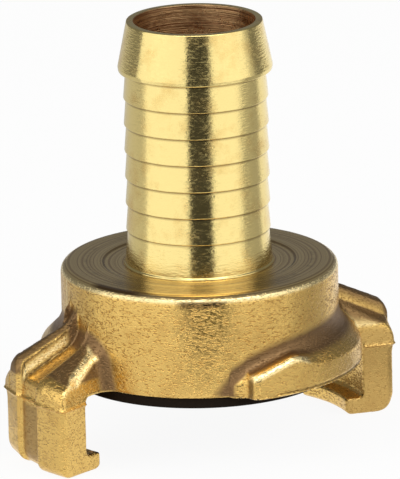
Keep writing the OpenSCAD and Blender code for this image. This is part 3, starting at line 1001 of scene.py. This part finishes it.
def put_card(name, verts, faces, tone):
    """A glowing card of one tone that is seen in the metal alone: not by the camera, and with no shadow."""
    piece = put_mesh(name, verts, faces, 180.0)
    paint = new_paint(name)
    glow = paint.node("ShaderNodeEmission", {"Color": (tone, tone, tone, 1.0)})
    piece.data.materials.append(paint.show(glow))
    piece.visible_camera = False
    piece.visible_diffuse = False
    piece.visible_shadow = False
    piece.visible_transmission = False


def dome_card(name, turn, lift, radius, tone):
    """A card that is a patch of a sphere round the part, between two turns and two lifts in degrees."""
    a = np.radians(CAMERA_TURN + np.linspace(*turn, CARD_ACROSS + 1))
    e = np.radians(np.linspace(*lift, CARD_UP + 1))
    aa, ee = np.meshgrid(a, e, indexing="ij")
    verts = radius * np.stack((np.cos(aa) * np.cos(ee), np.sin(aa) * np.cos(ee), np.sin(ee)), -1)
    i, j = np.meshgrid(np.arange(CARD_ACROSS), np.arange(CARD_UP), indexing="ij")
    n = CARD_UP + 1
    k = i * n + j
    faces = np.stack((k, k + n, k + n + 1, k + 1), -1)
    put_card(name, verts.reshape(-1, 3), faces.reshape(-1, 4), tone)


def floor_card(name, turn, near, far, tone):
    """A card that lies on the floor: part of a ring between two turns and two radii."""
    a = np.radians(CAMERA_TURN + np.linspace(*turn, CARD_ACROSS + 1))
    aa, rr = np.meshgrid(a, (near, far), indexing="ij")
    verts = np.stack((rr * np.cos(aa), rr * np.sin(aa), np.full_like(aa, 0.3)), -1).reshape(-1, 3)
    k = np.arange(CARD_ACROSS) * 2
    put_card(name, verts, np.stack((k, k + 2, k + 3, k + 1), -1), tone)


def lamp(name, turn, lift, distance, size, power):
    """A square area lamp that faces the part."""
    data = bpy.data.lights.new(name, "AREA")
    data.shape = "SQUARE"
    data.size = size
    data.energy = power
    piece = bpy.data.objects.new(name, data)
    bpy.context.scene.collection.objects.link(piece)
    away = direction(turn, lift)
    facing = away.to_track_quat("Z", "Y").to_matrix().to_4x4()
    piece.matrix_world = Matrix.Translation(away * distance) @ facing


class CONNECTOR_OT_stage(bpy.types.Operator):
    """Sets the camera, the floor, the lamps and the cards that the metal mirrors"""
    bl_idname = "connector.stage"
    bl_label = "Stage"

    def execute(self, context):
        s = context.scene.connector_stage
        place_camera()
        lay_floor((*s.floor_color, 1.0))
        light_world()
        lamp("left_box", -60.0, 30.0, 0.9, 0.5, s.lamp_power)
        lamp("right_box", 55.0, 30.0, 0.9, 0.5, s.lamp_power)

        # Cards: dim behind and overhead, bright at both sides in front, and the dark gap before the camera
        dome_card("card_behind", (97.0, 265.0), (1.0, 78.0), 700.0, 0.18)
        dome_card("card_zenith", (-180.0, 180.0), (76.0, 90.0), 705.0, 0.15)
        dome_card("card_left", (-95.0, -13.5), (0.5, 60.0), 700.0, 1.15)
        dome_card("card_right", (23.0, 86.0), (0.5, 60.0), 700.0, 1.15)
        dome_card("card_flank", (86.0, 97.0), (0.5, 60.0), 700.0, 0.65)
        dome_card("card_front_top", (-40.0, 70.0), (46.0, 72.0), 680.0, 3.2)
        dome_card("card_gap", (-13.5, 23.0), (-1.0, 25.0), 690.0, 0.05)
        floor_card("card_gap_floor", (-13.5, 23.0), 74.0, 900.0, 0.06)
        floor_card("card_near_left", (-88.0, -13.5), 30.0, 108.0, 0.80)
        floor_card("card_far_left", (-88.0, -13.5), 108.0, 900.0, 1.15)
        floor_card("card_near_right", (23.0, 75.0), 30.0, 108.0, 0.66)
        floor_card("card_far_right", (23.0, 68.0), 108.0, 900.0, 1.15)
        floor_card("card_right_floor", (75.0, 118.0), 38.0, 900.0, 0.42)
        floor_card("card_left_floor", (-178.0, -88.0), 38.0, 900.0, 0.60)
        bpy.context.scene.view_settings.view_transform = "Standard"
        return {"FINISHED"}


class CONNECTOR_PT_panel(bpy.types.Panel):
    """Lists the pieces of the connector"""
    bl_idname = "CONNECTOR_PT_panel"
    bl_label = "Hose connector"
    bl_space_type = "VIEW_3D"
    bl_region_type = "UI"
    bl_category = "Connector"

    def draw(self, context):
        for piece in ("tail", "head", "seal", "stage"):
            settings = getattr(context.scene, "connector_" + piece)
            box = self.layout.box()
            for key in settings.bl_rna.properties.keys():
                if key not in ("rna_type", "name"):
                    box.prop(settings, key)
            box.operator("connector." + piece)


CLASSES = (
    TailSettings, HeadSettings, SealSettings, StageSettings,
    CONNECTOR_OT_tail, CONNECTOR_OT_head, CONNECTOR_OT_seal, CONNECTOR_OT_stage,
    CONNECTOR_PT_panel,
)


def register():
    for cls in CLASSES:
        bpy.utils.register_class(cls)
    bpy.types.Scene.connector_tail = bpy.props.PointerProperty(type=TailSettings)
    bpy.types.Scene.connector_head = bpy.props.PointerProperty(type=HeadSettings)
    bpy.types.Scene.connector_seal = bpy.props.PointerProperty(type=SealSettings)
    bpy.types.Scene.connector_stage = bpy.props.PointerProperty(type=StageSettings)


def unregister():
    del bpy.types.Scene.connector_stage
    del bpy.types.Scene.connector_seal
    del bpy.types.Scene.connector_head
    del bpy.types.Scene.connector_tail
    for cls in reversed(CLASSES):
        bpy.utils.unregister_class(cls)


def main():
    register()
    bpy.ops.connector.stage()
    bpy.ops.connector.tail()
    bpy.ops.connector.head()
    bpy.ops.connector.seal()


if __name__ == "__main__":
    main()
